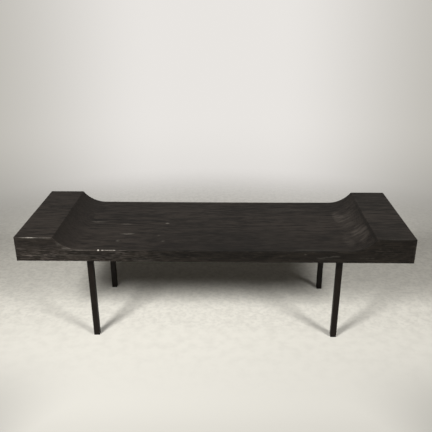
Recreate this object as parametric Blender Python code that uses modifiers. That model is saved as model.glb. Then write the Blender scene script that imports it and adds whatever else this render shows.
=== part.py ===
"""Accent bench: a thick blackened wood slab, hollowed to a seat between raised ends, on four steel legs.

Units are metres, +Z is up, +X runs along the bench and -Y is its front. The origin is on the floor,
under the middle of the slab. Each leg is a square tube welded to a plate that is let into the slab and
held by wood screws, and a plastic glide closes the tube at the floor.
"""

import math

import bmesh
import bpy

# Slab
SLAB_LENGTH = 1.600
SLAB_DEPTH = 0.535
SEAT_HEIGHT = 0.438
SEAT_WEB = 0.051
SEAT_RECESS = 0.053
RAISED_END_LENGTH = 0.155
COVE_RADIUS = 0.135
SLAB_EDGE_ROUND = 0.002

# Legs, square steel tube
LEG_SIDE = 0.025
LEG_WALL = 0.002
LEG_CORNER_RADIUS = 0.003
LEG_INSET_FROM_END = 0.284
LEG_INSET_FROM_EDGE = 0.0605

# Mounting plates, let in flush with the underside of the slab
PLATE_SIDE = 0.080
PLATE_THICKNESS = 0.005
PLATE_CORNER_RADIUS = 0.008
PLATE_SCREW_SPACING = 0.058

# Countersunk wood screws
SCREW_LENGTH = 0.035
SCREW_POINT_LENGTH = 0.006
SCREW_SHANK_RADIUS = 0.0024
SCREW_HEAD_RADIUS = 0.0046
SCREW_HEAD_LAND = 0.0004
SCREW_RECESS_LENGTH = 0.0050
SCREW_RECESS_WIDTH = 0.0012
SCREW_RECESS_DEPTH = 0.0018
SCREW_TURN_STEP = math.radians(37.0)

# Weld bead round the head of each leg
WELD_BEAD_RADIUS = 0.0022

# Foot glides, pressed into the tubes
GLIDE_PAD_HEIGHT = 0.005
GLIDE_PAD_ROUND = 0.0012
GLIDE_PLUG_HEIGHT = 0.018
GLIDE_FIN_COUNT = 3
GLIDE_FIN_THICKNESS = 0.0018
GLIDE_FIN_REACH = 0.0025

# Clearances
SEATING_GAP = 0.0003
POCKET_GAP = 0.0005
CUT_THROUGH = 0.002
LEAST_CORNER_RADIUS = 0.0004

# Facets of the round stretches
COVE_SEGMENTS = 14
CORNER_SEGMENTS = 3
TURNED_STEPS = 16
BEAD_RESOLUTION = 2
PAD_EDGE_RESOLUTION = 1
EDGE_SEGMENTS = 2
SHARP_ANGLE = math.radians(60.0)
SMOOTH_ANGLE = math.radians(35.0)
FLAT_ANGLE = math.radians(0.5)
WELD_DISTANCE = 0.00001

# Worked out from the sizes above
UNDERSIDE_HEIGHT = SEAT_HEIGHT - SEAT_WEB
SLAB_THICKNESS = SEAT_WEB + SEAT_RECESS
LEG_X = SLAB_LENGTH / 2 - LEG_INSET_FROM_END
LEG_Y = SLAB_DEPTH / 2 - LEG_INSET_FROM_EDGE
LEG_LENGTH = UNDERSIDE_HEIGHT - GLIDE_PAD_HEIGHT - 2 * SEATING_GAP
LEG_INNER_RADIUS = max(LEG_CORNER_RADIUS - LEG_WALL, LEAST_CORNER_RADIUS)
LEG_BORE_SIDE = LEG_SIDE - 2 * LEG_WALL

CORNERS = {
    "front_left": (-1, -1),
    "front_right": (1, -1),
    "back_left": (-1, 1),
    "back_right": (1, 1),
}
PLATE_HOLES = [(-1, -1), (1, -1), (1, 1), (-1, 1)]


def clear_scene():
    for obj in list(bpy.data.objects):
        bpy.data.objects.remove(obj, do_unlink=True)


def make_collection(name):
    collection = bpy.data.collections.new(name)
    bpy.context.scene.collection.children.link(collection)
    return collection


def make_material(name, colour, roughness, metallic):
    material = bpy.data.materials.new(name)
    material.use_nodes = True
    shader = material.node_tree.nodes["Principled BSDF"]
    shader.inputs["Base Color"].default_value = (*colour, 1.0)
    shader.inputs["Roughness"].default_value = roughness
    shader.inputs["Metallic"].default_value = metallic
    return material


def place(obj, collection, parent=None, location=(0.0, 0.0, 0.0), rotation=(0.0, 0.0, 0.0)):
    """Links an object to a collection, at a location and rotation under its parent."""
    collection.objects.link(obj)
    obj.parent = parent
    obj.location = location
    obj.rotation_euler = rotation
    return obj


def make_cutter(obj):
    obj.hide_render = True
    obj.display_type = "WIRE"
    return obj


def rounded_square(side, radius, segments=CORNER_SEGMENTS):
    """Points of a square with round corners, centred on the origin, anticlockwise."""
    reach = side / 2 - radius
    points = []
    for quarter, (sx, sy) in enumerate([(1, 1), (-1, 1), (-1, -1), (1, -1)]):
        for step in range(segments + 1):
            angle = math.pi / 2 * (quarter + step / segments)
            x = sx * reach + radius * math.cos(angle)
            y = sy * reach + radius * math.sin(angle)
            points.append((x, y))
    return points


def add_loop(curve, points, height=0.0):
    """Adds a closed polyline to a curve."""
    spline = curve.splines.new("POLY")
    spline.points.add(len(points) - 1)
    for point, (x, y) in zip(spline.points, points):
        point.co = (x, y, height, 1.0)
    spline.use_cyclic_u = True


def prism_curve(name, outlines, thickness, edge_round=0.0):
    """A flat outline, with holes if more than one is given, extruded either side of its plane."""
    curve = bpy.data.curves.new(name, "CURVE")
    curve.dimensions = "2D"
    curve.fill_mode = "BOTH"
    curve.extrude = thickness / 2 - edge_round
    curve.bevel_depth = edge_round
    curve.bevel_resolution = PAD_EDGE_RESOLUTION
    curve.offset = -edge_round
    for outline in outlines:
        add_loop(curve, outline)
    return curve


def evaluated_mesh(data, name, modify=None):
    """The closed mesh of a curve or a mesh once its modifiers act, with its caps welded on."""
    source = bpy.data.objects.new(name + "_source", data)
    bpy.context.scene.collection.objects.link(source)
    if modify:
        modify(source)
    bpy.context.view_layer.update()
    graph = bpy.context.evaluated_depsgraph_get()
    mesh = bpy.data.meshes.new_from_object(source.evaluated_get(graph))
    mesh.name = name
    bpy.data.objects.remove(source, do_unlink=True)
    work = bmesh.new()
    work.from_mesh(mesh)
    bmesh.ops.remove_doubles(work, verts=work.verts, dist=WELD_DISTANCE)
    bmesh.ops.dissolve_limit(work, angle_limit=FLAT_ANGLE, verts=work.verts, edges=work.edges)
    bmesh.ops.recalc_face_normals(work, faces=work.faces)
    work.to_mesh(mesh)
    work.free()
    return mesh


def prism_mesh(name, side, radius, thickness, edge_round=0.0):
    """A square plate or block with round upright edges, centred on the origin."""
    outline = rounded_square(side, radius)
    return evaluated_mesh(prism_curve(name, [outline], thickness, edge_round), name)


def turned_mesh(name, profile):
    """A solid turned about Z from a profile that runs from its top to its bottom."""
    outline = bpy.data.meshes.new(name + "_profile")
    vertices = [(radius, 0.0, height) for radius, height in profile]
    edges = [(i, i + 1) for i in range(len(profile) - 1)]
    outline.from_pydata(vertices, edges, [])

    def turn(obj):
        screw = obj.modifiers.new("turn", "SCREW")
        screw.axis = "Z"
        screw.angle = 2 * math.pi
        screw.steps = TURNED_STEPS
        screw.render_steps = TURNED_STEPS
        screw.use_merge_vertices = True
        screw.merge_threshold = WELD_DISTANCE

    return evaluated_mesh(outline, name, turn)


def combine(obj, other, operation):
    boolean = obj.modifiers.new(f"{operation.lower()}_{other.name}", "BOOLEAN")
    boolean.operation = operation
    boolean.object = other


def smooth(mesh):
    mesh.shade_smooth()
    mesh.set_sharp_from_angle(angle=SMOOTH_ANGLE)


def slab_outline():
    """The slab's side view, from its lower right corner. The two coves are arcs, tangent to the seat."""
    end = SLAB_LENGTH / 2
    inner = end - RAISED_END_LENGTH
    sweep = math.acos(1 - SEAT_RECESS / COVE_RADIUS)
    seat_end = inner - COVE_RADIUS * math.sin(sweep)
    cove = []
    for step in range(COVE_SEGMENTS + 1):
        angle = sweep * (1 - step / COVE_SEGMENTS)
        x = seat_end + COVE_RADIUS * math.sin(angle)
        z = SEAT_WEB + COVE_RADIUS * (1 - math.cos(angle))
        cove.append((x, z))
    right_half = [(end, 0.0), (end, SLAB_THICKNESS), *cove]
    left_half = [(-x, z) for x, z in reversed(right_half)]
    return right_half + left_half


def build_slab(collection, origin, material):
    """The hollowed slab, one piece of solid wood. Its cuts are made at the legs."""
    mesh = evaluated_mesh(prism_curve("seat_slab", [slab_outline()], SLAB_DEPTH), "seat_slab")
    mesh.materials.append(material)
    slab = bpy.data.objects.new("seat_slab", mesh)
    upright = (math.pi / 2, 0.0, 0.0)
    place(slab, collection, origin, (0.0, 0.0, UNDERSIDE_HEIGHT), upright)
    bevel = slab.modifiers.new("softened_edges", "BEVEL")
    bevel.width = SLAB_EDGE_ROUND
    bevel.segments = EDGE_SEGMENTS
    bevel.limit_method = "ANGLE"
    bevel.angle_limit = SHARP_ANGLE
    return slab


def leg_curve(material):
    """A square tube, centred on its own middle."""
    outer = rounded_square(LEG_SIDE, LEG_CORNER_RADIUS)
    bore = rounded_square(LEG_BORE_SIDE, LEG_INNER_RADIUS)
    curve = prism_curve("leg_tube", [outer, bore], LEG_LENGTH)
    curve.materials.append(material)
    return curve


def plate_mesh(material):
    """A flat steel plate with round corners. Its screw holes are cut where it lies."""
    mesh = prism_mesh("mounting_plate", PLATE_SIDE, PLATE_CORNER_RADIUS, PLATE_THICKNESS)
    mesh.materials.append(material)
    return mesh


def bead_mesh(material):
    """A round weld bead in the corner between the tube and its plate."""
    offset = SEATING_GAP + WELD_BEAD_RADIUS
    path = rounded_square(LEG_SIDE + 2 * offset, LEG_CORNER_RADIUS + offset)
    curve = bpy.data.curves.new("weld_bead", "CURVE")
    curve.dimensions = "3D"
    curve.bevel_depth = WELD_BEAD_RADIUS
    curve.bevel_resolution = BEAD_RESOLUTION
    add_loop(curve, path, height=-offset)
    mesh = evaluated_mesh(curve, "weld_bead")
    mesh.materials.append(material)
    smooth(mesh)
    return mesh


def screw_profile(grow=0.0, run_out=0.0):
    """A screw's profile from its point down to the face of its head, grown where it is a clearance hole."""
    shank = SCREW_SHANK_RADIUS + grow
    head = SCREW_HEAD_RADIUS + grow
    under_head = SCREW_HEAD_LAND + SCREW_HEAD_RADIUS - SCREW_SHANK_RADIUS
    return [
        (0.0, SCREW_LENGTH + grow),
        (shank, SCREW_LENGTH - SCREW_POINT_LENGTH + grow),
        (shank, under_head),
        (head, SCREW_HEAD_LAND),
        (head, -run_out),
        (0.0, -run_out),
    ]


def screw_mesh(material, cutters, origin):
    """A wood screw with a cross recess in its head."""
    blank = turned_mesh("screw_blank", screw_profile())
    blade = bpy.data.meshes.new("screw_recess")
    work = bmesh.new()
    bmesh.ops.create_cube(work, size=1.0)
    size = (SCREW_RECESS_LENGTH, SCREW_RECESS_WIDTH, 2 * SCREW_RECESS_DEPTH)
    bmesh.ops.scale(work, vec=size, verts=work.verts)
    work.to_mesh(blade)
    work.free()
    blades = []
    for number, turn in enumerate((0.0, math.pi / 2)):
        cutter = make_cutter(bpy.data.objects.new(f"screw_recess_{number + 1}", blade))
        place(cutter, cutters, origin, rotation=(0.0, 0.0, turn))
        blades.append(cutter)

    def cut_recess(obj):
        for cutter in blades:
            combine(obj, cutter, "DIFFERENCE")

    mesh = evaluated_mesh(blank, "plate_screw", cut_recess)
    mesh.materials.append(material)
    smooth(mesh)
    return mesh


def glide_mesh(material, cutters, origin):
    """A foot glide: a pad under the end of the tube and a finned plug inside it, from the floor up."""
    fin_side = LEG_BORE_SIDE - 2 * SEATING_GAP
    fin_radius = max(LEG_INNER_RADIUS - SEATING_GAP, SEATING_GAP)
    core_side = fin_side - 2 * GLIDE_FIN_REACH
    core_foot = GLIDE_PAD_HEIGHT / 2
    core_top = GLIDE_PAD_HEIGHT + GLIDE_PLUG_HEIGHT
    core_height = core_top - core_foot
    pad = prism_mesh("glide_pad", LEG_SIDE, LEG_CORNER_RADIUS, GLIDE_PAD_HEIGHT, GLIDE_PAD_ROUND)
    core = prism_mesh("glide_core", core_side, fin_radius, core_height)
    fin = prism_mesh("glide_fin", fin_side, fin_radius, GLIDE_FIN_THICKNESS)
    added = [("glide_core", core, core_foot + core_height / 2)]
    for number in range(GLIDE_FIN_COUNT):
        rise = GLIDE_PLUG_HEIGHT * (number + 0.5) / GLIDE_FIN_COUNT
        added.append((f"glide_fin_{number + 1}", fin, GLIDE_PAD_HEIGHT + rise))
    pieces = []
    for name, piece_mesh, height in added:
        piece = make_cutter(bpy.data.objects.new(name, piece_mesh))
        place(piece, cutters, origin, (0.0, 0.0, height - GLIDE_PAD_HEIGHT / 2))
        pieces.append(piece)

    def join_plug(obj):
        for piece in pieces:
            combine(obj, piece, "UNION")

    mesh = evaluated_mesh(pad, "foot_glide", join_plug)
    mesh.materials.append(material)
    return mesh


def build_corner(corner, signs, shapes, slab, collections, origin):
    """One leg with its plate, weld, glide and screws, and the cuts in slab and plate that take them."""
    parts, cutters = collections
    station = bpy.data.objects.new(f"leg_station_{corner}", None)
    place(station, parts, origin, (signs[0] * LEG_X, signs[1] * LEG_Y, UNDERSIDE_HEIGHT))

    leg = bpy.data.objects.new(f"leg_{corner}", shapes["leg"])
    place(leg, parts, station, (0.0, 0.0, -SEATING_GAP - LEG_LENGTH / 2))
    plate = bpy.data.objects.new(f"mounting_plate_{corner}", shapes["plate"])
    place(plate, parts, station, (0.0, 0.0, PLATE_THICKNESS / 2))
    bead = bpy.data.objects.new(f"weld_bead_{corner}", shapes["bead"])
    place(bead, parts, station)
    glide = bpy.data.objects.new(f"foot_glide_{corner}", shapes["glide"])
    place(glide, parts, station, (0.0, 0.0, GLIDE_PAD_HEIGHT / 2 - UNDERSIDE_HEIGHT))

    pocket = make_cutter(bpy.data.objects.new(f"plate_pocket_{corner}", shapes["pocket"]))
    place(pocket, cutters, station, (0.0, 0.0, (PLATE_THICKNESS + SEATING_GAP - CUT_THROUGH) / 2))
    combine(slab, pocket, "DIFFERENCE")
    for number, (sx, sy) in enumerate(PLATE_HOLES, start=1):
        spot = (sx * PLATE_SCREW_SPACING / 2, sy * PLATE_SCREW_SPACING / 2, 0.0)
        turn = (0.0, 0.0, number * SCREW_TURN_STEP)
        screw = bpy.data.objects.new(f"plate_screw_{corner}_{number}", shapes["screw"])
        place(screw, parts, station, spot, turn)
        hole = make_cutter(bpy.data.objects.new(f"screw_hole_{corner}_{number}", shapes["hole"]))
        place(hole, cutters, station, spot)
        combine(plate, hole, "DIFFERENCE")
        combine(slab, hole, "DIFFERENCE")


def main():
    clear_scene()
    parts = make_collection("accent_bench")
    cutters = make_collection("accent_bench_cutters")
    origin = place(bpy.data.objects.new("bench_origin", None), parts)

    wood = make_material("blackened_wood", (0.030, 0.027, 0.024), 0.55, 0.0)
    leg_steel = make_material("leg_black_steel", (0.014, 0.013, 0.013), 0.45, 0.0)
    plate_steel = make_material("plate_black_steel", (0.016, 0.015, 0.015), 0.50, 0.0)
    weld_steel = make_material("weld_black_steel", (0.018, 0.017, 0.016), 0.45, 0.0)
    screw_steel = make_material("screw_steel", (0.060, 0.058, 0.055), 0.35, 1.0)
    plastic = make_material("glide_plastic", (0.012, 0.012, 0.012), 0.60, 0.0)

    pocket_side = PLATE_SIDE + 2 * POCKET_GAP
    pocket_radius = PLATE_CORNER_RADIUS + POCKET_GAP
    pocket_height = PLATE_THICKNESS + SEATING_GAP + CUT_THROUGH
    shapes = {
        "leg": leg_curve(leg_steel),
        "plate": plate_mesh(plate_steel),
        "bead": bead_mesh(weld_steel),
        "screw": screw_mesh(screw_steel, cutters, origin),
        "glide": glide_mesh(plastic, cutters, origin),
        "pocket": prism_mesh("plate_pocket", pocket_side, pocket_radius, pocket_height),
        "hole": turned_mesh("screw_hole", screw_profile(SEATING_GAP, CUT_THROUGH)),
    }
    slab = build_slab(parts, origin, wood)
    for corner, signs in CORNERS.items():
        build_corner(corner, signs, shapes, slab, (parts, cutters), origin)


main()
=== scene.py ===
"""Looks of a long backless bench: a blackened wood slab, hollowed to a seat, on four steel legs."""

import math

import bmesh
import bpy
import numpy as np
from mathutils import Matrix, Vector


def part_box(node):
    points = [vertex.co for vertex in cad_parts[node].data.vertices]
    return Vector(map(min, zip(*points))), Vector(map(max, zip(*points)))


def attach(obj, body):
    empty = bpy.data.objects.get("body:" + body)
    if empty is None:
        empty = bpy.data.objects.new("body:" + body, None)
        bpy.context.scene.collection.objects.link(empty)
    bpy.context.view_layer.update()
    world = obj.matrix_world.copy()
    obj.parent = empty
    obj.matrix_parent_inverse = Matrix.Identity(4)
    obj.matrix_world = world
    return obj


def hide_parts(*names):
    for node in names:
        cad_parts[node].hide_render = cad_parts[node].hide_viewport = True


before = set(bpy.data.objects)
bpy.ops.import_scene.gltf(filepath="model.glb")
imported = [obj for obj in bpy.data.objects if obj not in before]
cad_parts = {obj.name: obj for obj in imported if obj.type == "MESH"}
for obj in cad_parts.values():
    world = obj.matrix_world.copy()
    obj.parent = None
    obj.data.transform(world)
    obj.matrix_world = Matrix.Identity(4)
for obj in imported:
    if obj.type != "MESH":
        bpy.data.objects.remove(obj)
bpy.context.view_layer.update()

# Names shared by the pieces at each leg
CORNERS = ("front_left", "front_right", "back_left", "back_right")
SCREWS_PER_PLATE = 4

# The photograph's camera
IMAGE_PIXELS = 432
FOCAL_PIXELS = 559.6
SENSOR_MM = 36.0
CAMERA_PLACE = (0.0501, -2.2687, 1.4307)
CAMERA_PITCH_DOWN = math.radians(22.81)
CAMERA_YAW = math.radians(-1.195)
CAMERA_ROLL = math.radians(-0.144)

# Studio: two soft boxes in front of the bench, a pale floor that fades into a pale backdrop
LEFT_LIGHT_PLACE = (-1.45, -2.05, 2.14)
LEFT_LIGHT_SIZE = (0.72, 0.80)
LEFT_LIGHT_WATTS = 43.2
RIGHT_LIGHT_PLACE = (2.23, -2.25, 2.36)
RIGHT_LIGHT_SIZE = (0.85, 0.82)
RIGHT_LIGHT_WATTS = 40.0
LIGHT_TARGET = (0.0, 0.15, 0.20)
LIGHT_SPREAD = math.radians(120.0)
LIGHT_COLOUR = (1.0, 0.985, 0.95)
AMBIENT_COLOUR = (1.0, 0.90, 0.78)
AMBIENT_STRENGTH = 0.048
# The backdrop is painted lighter in the middle and darker at the sides and low down, as painted
# fall-off of the light
BACKDROP_CENTRE_COLOUR = (0.81, 0.785, 0.755)
BACKDROP_EDGE_COLOUR = (0.475, 0.458, 0.415)
BACKDROP_MIDDLE = -0.02
BACKDROP_FADE = (0.10, 0.45)
BACKDROP_LOW_STRENGTH = (0.79, 0.50)
BACKDROP_LOW_FADE = (0.22, 0.44)
FLOOR_COLOUR = (0.845, 0.828, 0.768)
FLOOR_SPOT_COLOUR = (0.745, 0.729, 0.674)
# Painted shade on the floor: darker towards the front, in its front corners and nearest the camera
FLOOR_FRONT_PAINTED_SHADE = (0.66, 0.651, 0.617)
FLOOR_CORNER_PAINTED_SHADE = (0.33, 0.326, 0.309)
FLOOR_PIT_COLOUR = (0.62, 0.607, 0.561)
FLOOR_SPOT_RISE = (0.35, 0.75)
FLOOR_PIT_RISE = (0.42, 0.66)
FLOOR_PIT_SHARE = 0.42
FLOOR_SMOOTH_FROM = (0.10, 0.22)
# Where the floor's painted shade starts and ends
FLOOR_FRONT_FADE = (-0.10, 0.70)
FLOOR_CORNER_FADE_ASIDE = (0.45, 1.00)
FLOOR_CORNER_FADE_FORWARD = (0.30, 0.90)
FLOOR_NEAR_FADE = (0.60, 0.95)
FLOOR_NEAR_PAINTED_SHADE_SHARE = 0.38
FLOOR_RADIUS = 6.0
FLOOR_SIDES = 96
FLOOR_FADE_CENTRE = (0.0, -0.6, 0.0)
FLOOR_FADE = (1.5, 2.8)
FLOOR_ROUGHNESS = 0.8
FLOOR_SPECULAR = 0.2

# The slab's form, with lengths in metres; its outer box comes from the frame
SEAT_HEIGHT = 0.438
RAISED_END_LENGTH = 0.155
COVE_RADIUS = 0.135
COVE_SWEEP = 0.98
SEAT_DISH = 0.001
COVE_ARRIS_ROUND = 0.0012

# How closely the slab's skin is divided
SEAT_STEP = 0.0055
COVE_STEP = 0.003
ARRIS_REACH = 0.004
ARRIS_STEPS = 12
END_ROUND_REACH = 0.006
END_ROUND_STEPS = 10
CHIP_STEPS = 12
LEAST_STEP = 0.0004
LONG_RUN_POINTS = 72
SHORT_RUN_POINTS = 24
CORNER_POINTS = 6
RUN_CROWDING = 0.7
SLAB_SHARP_ANGLE = math.radians(50.0)

# Numbers of the corners of the slab's cross-section, from lower back round to lower front
UPPER_FRONT = 2
LOWER_FRONT = 3

# Wear of the slab's form
TOP_ARRIS_ROUND = 0.0012
TOP_ARRIS_WEAR = 0.0014
LOWER_ARRIS_ROUND = 0.0010
LOWER_ARRIS_WEAR = 0.0012
RIGHT_EDGE_ROUND = 0.0012
RIGHT_EDGE_FROM = (-0.10, 0.25)
END_ARRIS_ROUND = 0.0012
END_ARRIS_WEAR = 0.0018
LEFT_CORNER_ROUND = 0.003
PLANE_MARKS_DEPTH = 0.0006
FACE_RELIEF_DEPTH = 0.0005
WEATHERED_RELIEF_DEPTH = 0.0010
BROKEN_CORNER_SLOPE = (1.0, 1.0, 0.7)
BROKEN_CORNER_DEPTH = 0.005
BROKEN_CORNER_ROUGHNESS = 0.4

# Seeded noises of the forms: points of their lattice, then periods along X, Y and Z, with seeds
LATTICE_SIZE = 64
ARRIS_SEEDS = (11, 12, 13, 14)
ARRIS_SLOW_PERIOD = (0.09, 1.0, 1.0)
ARRIS_SLOW_SHARE = 0.6
ARRIS_QUICK_PERIOD = (0.012, 1.0, 1.0)
ARRIS_QUICK_SHARE = 0.4
ARRIS_QUICK_SEED_STEP = 20
END_ARRIS_NOISE = ((1.0, 0.2, 0.2), 5)
PLANE_MARKS_NOISE = ((0.22, 0.11, 1.0), 31)
FACE_RELIEF_NOISE = ((0.11, 0.05, 0.012), 32)
WEATHERED_RELIEF_NOISE = ((0.035, 0.03, 0.006), 33)
BROKEN_CORNER_NOISE = ((0.006, 0.006, 0.006), 41)
LEG_DENT_NOISE = ((0.03, 0.03, 0.05), 51)

# Wear, painted top light and darker patches of the slab's colour: where each starts and ends, how fast
# it fades in metres, its strengths
UPPER_FADE = 0.010
FACE_FADE = 0.003
ARRIS_FADE = 0.0025
END_FADE = 0.002
# How far down from the top face the painted top light reaches
TOP_ROLL = 0.0018
WEATHERED_UNTIL = -0.10
WEATHERED_FULL_TO = -0.45
WEATHERED_LEAST = 0.10
WEATHERED_LEFT = 0.80
WEATHERED_LEFT_END = 0.40
WEATHERED_OTHERS = 0.35
LEFT_END_FROM = (0.50, 0.72)
SHELTERED_ABOVE = (0.438, 0.466)
SHELTERED_SHARE = 0.55
EVEN_ABOVE = (0.425, 0.450)
EVEN_SHARE = 0.50
EVEN_TONE = 0.24
POLISHED_FROM = (-0.40, -0.20)
POLISHED_REACH = 0.009
END_GRAIN_SHOW = 0.55
SPOT_PLATEAU = 2.0
FIGURE_BELOW_SEAT = 0.004
# A darker band on each cove just below its arris, and a darker patch over the seat
COVE_DARK_BELOW_ARRIS = 0.005
COVE_DARK_REACH = 0.0038
COVE_DARK_LEFT = 0.08
COVE_DARK_RIGHT = 0.68
COVE_DARK_BACK_FADE = (0.05, 0.20)
SEAT_DARK_PLACE = (0.12, -0.27)
SEAT_DARK_REACH = (0.50, 0.27)
SEAT_DARK = 0.55
LEFT_COVE_CALM = 0.65
RIGHT_COVE_CALM = 0.20
COVE_CALM_RISE = (0.0, 0.5)

# Chips along the front upper arris: place along the bench, half length, depth
FRONT_CHIPS = (
    (-0.4645, 0.0055, 0.0045),
    (-0.424, 0.0300, 0.0022),
    (-0.372, 0.0280, 0.0010),
    (-0.540, 0.0400, 0.0012),
    (-0.725, 0.0450, 0.0014),
    (0.395, 0.0800, 0.0012),
    (0.700, 0.0600, 0.0008),
)

# Wood worn through its finish, and painted highlights along arrises: place, half lengths along X, Y and
# Z, strength
BARE_AND_HIGHLIGHT_SPOTS = (
    ((-0.4645, -0.2655, 0.4367), (0.0050, 0.0050, 0.0034), 0.80),
    ((-0.425, -0.2665, 0.4370), (0.0310, 0.0035, 0.0021), 0.24),
    ((-0.400, -0.2665, 0.4370), (0.0060, 0.0040, 0.0026), 0.34),
    ((-0.447, -0.2665, 0.4370), (0.0060, 0.0040, 0.0026), 0.34),
    ((-0.372, -0.2665, 0.4372), (0.0260, 0.0030, 0.0018), 0.03),
    # Painted highlight along the front arris of the left raised end
    ((-0.733, -0.2665, 0.4902), (0.0240, 0.0035, 0.0017), 0.40),
    ((-0.738, -0.2665, 0.4902), (0.0430, 0.0035, 0.0016), 0.20),
    ((-0.675, -0.2660, 0.4902), (0.0350, 0.0040, 0.0022), 0.07),
    ((-0.592, -0.2665, 0.4440), (0.0220, 0.0040, 0.0052), 0.06),
    ((-0.622, -0.2665, 0.4620), (0.0120, 0.0040, 0.0070), 0.03),
    ((-0.535, -0.2665, 0.4370), (0.0560, 0.0040, 0.0026), 0.04),
    ((-0.600, -0.2670, 0.4130), (0.1900, 0.0030, 0.0035), 0.025),
    ((-0.286, -0.2670, 0.3930), (0.0520, 0.0030, 0.0045), 0.025),
    ((0.427, -0.2670, 0.4075), (0.0180, 0.0030, 0.0030), 0.036),
    ((0.453, -0.2670, 0.4120), (0.0220, 0.0030, 0.0030), 0.038),
    ((0.484, -0.2670, 0.4163), (0.0240, 0.0030, 0.0028), 0.042),
    ((0.455, -0.2670, 0.4025), (0.0500, 0.0030, 0.0026), 0.016),
    ((0.635, -0.2670, 0.4090), (0.0750, 0.0030, 0.0020), 0.020),
    ((0.364, -0.2670, 0.4246), (0.0060, 0.0030, 0.0026), 0.05),
    # Painted highlight on the seat along its front arris
    ((0.396, -0.2530, 0.4378), (0.0850, 0.0090, 0.0040), 0.022),
    ((0.798, -0.2660, 0.4400), (0.0045, 0.0045, 0.0440), 0.025),
    ((0.7350, -0.2635, 0.4908), (0.0700, 0.0050, 0.0014), 0.028),
    ((0.7225, 0.0000, 0.4905), (0.1000, 0.3000, 0.0200), 0.006),
)

# Darker patches: place, half lengths along X, Y and Z, strength
DARK_SPOTS = (
    ((-0.530, -0.2670, 0.4295), (0.1400, 0.0040, 0.0060), 0.75),
    ((0.7225, -0.2350, 0.4900), (0.1000, 0.0500, 0.0200), 0.60),
    ((-0.695, -0.2670, 0.4560), (0.0800, 0.0040, 0.0280), 0.38),
    ((-0.495, -0.2670, 0.4180), (0.0950, 0.0040, 0.0130), 0.70),
    ((0.070, -0.2670, 0.4020), (0.1500, 0.0040, 0.0250), 0.40),
    ((0.470, -0.2670, 0.4150), (0.1700, 0.0040, 0.0180), 0.80),
    ((0.150, -0.2670, 0.4300), (0.3200, 0.0040, 0.0090), 0.40),
    ((0.735, -0.2670, 0.4840), (0.0800, 0.0040, 0.0080), 0.60),
)

# Light figure of the wood on the right cove: place along X and Y, half lengths, strength
FIGURES = (
    ((0.554, 0.084), (0.027, 0.072), 1.20),
    ((0.588, 0.040), (0.030, 0.060), 0.40),
    ((0.607, -0.132), (0.036, 0.080), 1.15),
    ((0.556, -0.165), (0.028, 0.070), 0.45),
    ((0.590, -0.020), (0.060, 0.190), 0.30),
    ((0.615, 0.150), (0.045, 0.120), 0.22),
)
FIGURE_STROKE_LEAN = 0.25
FIGURE_STROKE_RISE = (0.40, 0.62)
FIGURE_SPAN = (0.22, 1.15)

# Pale flecks and streaks on the seat: place along X and Y, half lengths, strength
SEAT_FLECKS = (
    ((-0.213, 0.008), (0.0100, 0.0065), 1.0),
    ((-0.375, -0.110), (0.0330, 0.0060), 0.40),
    ((-0.358, -0.104), (0.0200, 0.0050), 0.36),
    ((-0.392, -0.005), (0.0300, 0.0060), 0.24),
    ((-0.522, 0.018), (0.0420, 0.0080), 0.18),
    ((-0.237, -0.121), (0.0080, 0.0060), 0.18),
    ((-0.213, -0.177), (0.0080, 0.0070), 0.26),
    ((-0.402, -0.178), (0.0110, 0.0090), 0.24),
    ((0.325, 0.170), (0.1200, 0.0100), 0.10),
)
FLECK_DEPTH = 0.030
FLECK_STRENGTH = 0.35
FLECK_DRIFT_SCALE = (90.0, 250.0, 250.0)
FLECK_DRIFT_REACH = (0.012, 0.006, 0.0)

# Noises of the materials: swells per metre along X, Y and Z, detail, roughness
BROAD_STREAK_NOISE = ((10.0, 60.0, 60.0), 3.0, 0.55)
FIBRE_NOISE = ((22.0, 170.0, 170.0), 3.0, 0.6)
PORE_NOISE = ((60.0, 900.0, 900.0), 2.0, 0.5)
CLOUD_NOISE = ((2.2, 6.0, 6.0), 2.0, 0.5)
TICK_NOISE = ((42.0, 240.0, 240.0), 2.0, 0.5)
WEATHERED_NOISE = ((30.0, 360.0, 360.0), 4.0, 0.60)
WEATHERED_PATCH_NOISE = ((14.0, 120.0, 120.0), 2.0, 0.5)
RAGGED_NOISE = ((260.0, 420.0, 420.0), 3.0, 0.5)
FIGURE_STROKE_NOISE = ((13.0, 46.0, 1.0), 3.0, 0.5)
SATIN_MOTTLE_NOISE = ((60.0, 60.0, 25.0), 4.0, 0.5)
SATIN_GRAIN_NOISE = ((900.0, 900.0, 900.0), 2.0, 0.5)
FLOOR_SPOT_NOISE = ((22.0, 22.0, 22.0), 4.0, 0.5)
FLOOR_PIT_NOISE = ((52.0, 58.0, 58.0), 2.0, 0.5)

# Sockets of a mix node when it mixes colours
MIX_SHARE = 0
MIX_FIRST = 6
MIX_SECOND = 7
MIX_RESULT = 2

# How the grain drifts: swells per metre and reach along X, Y and Z
DRIFT_DETAIL = 2.0
NOISE_MIDDLE = (0.5, 0.5, 0.5)
GRAIN_DRIFT_SCALE = (0.9, 3.0, 3.0)
GRAIN_DRIFT_REACH = (0.0, 0.060, 0.050)
WEATHERED_DRIFT_REACH = (0.0, 0.012, 0.012)

# Growth rings round a pith along X, and the stretch of each ring that is late wood
RING_PITH = (0.0, 0.05, 0.14)
RING_SPACING = 0.0060
ACROSS_GRAIN = (0.0, 1.0, 1.0)
LATE_WOOD_RISE = (0.30, 0.85)
LATE_WOOD_FALL = (0.90, 1.0)

# Where the rings swell round a knot: place, half lengths along X, Y and Z, rise
KNOTS = (
    ((0.592, -0.170, 0.450), (0.050, 0.080, 0.060), 0.030),
    ((0.443, -0.268, 0.408), (0.080, 0.060, 0.012), 0.014),
)

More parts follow.
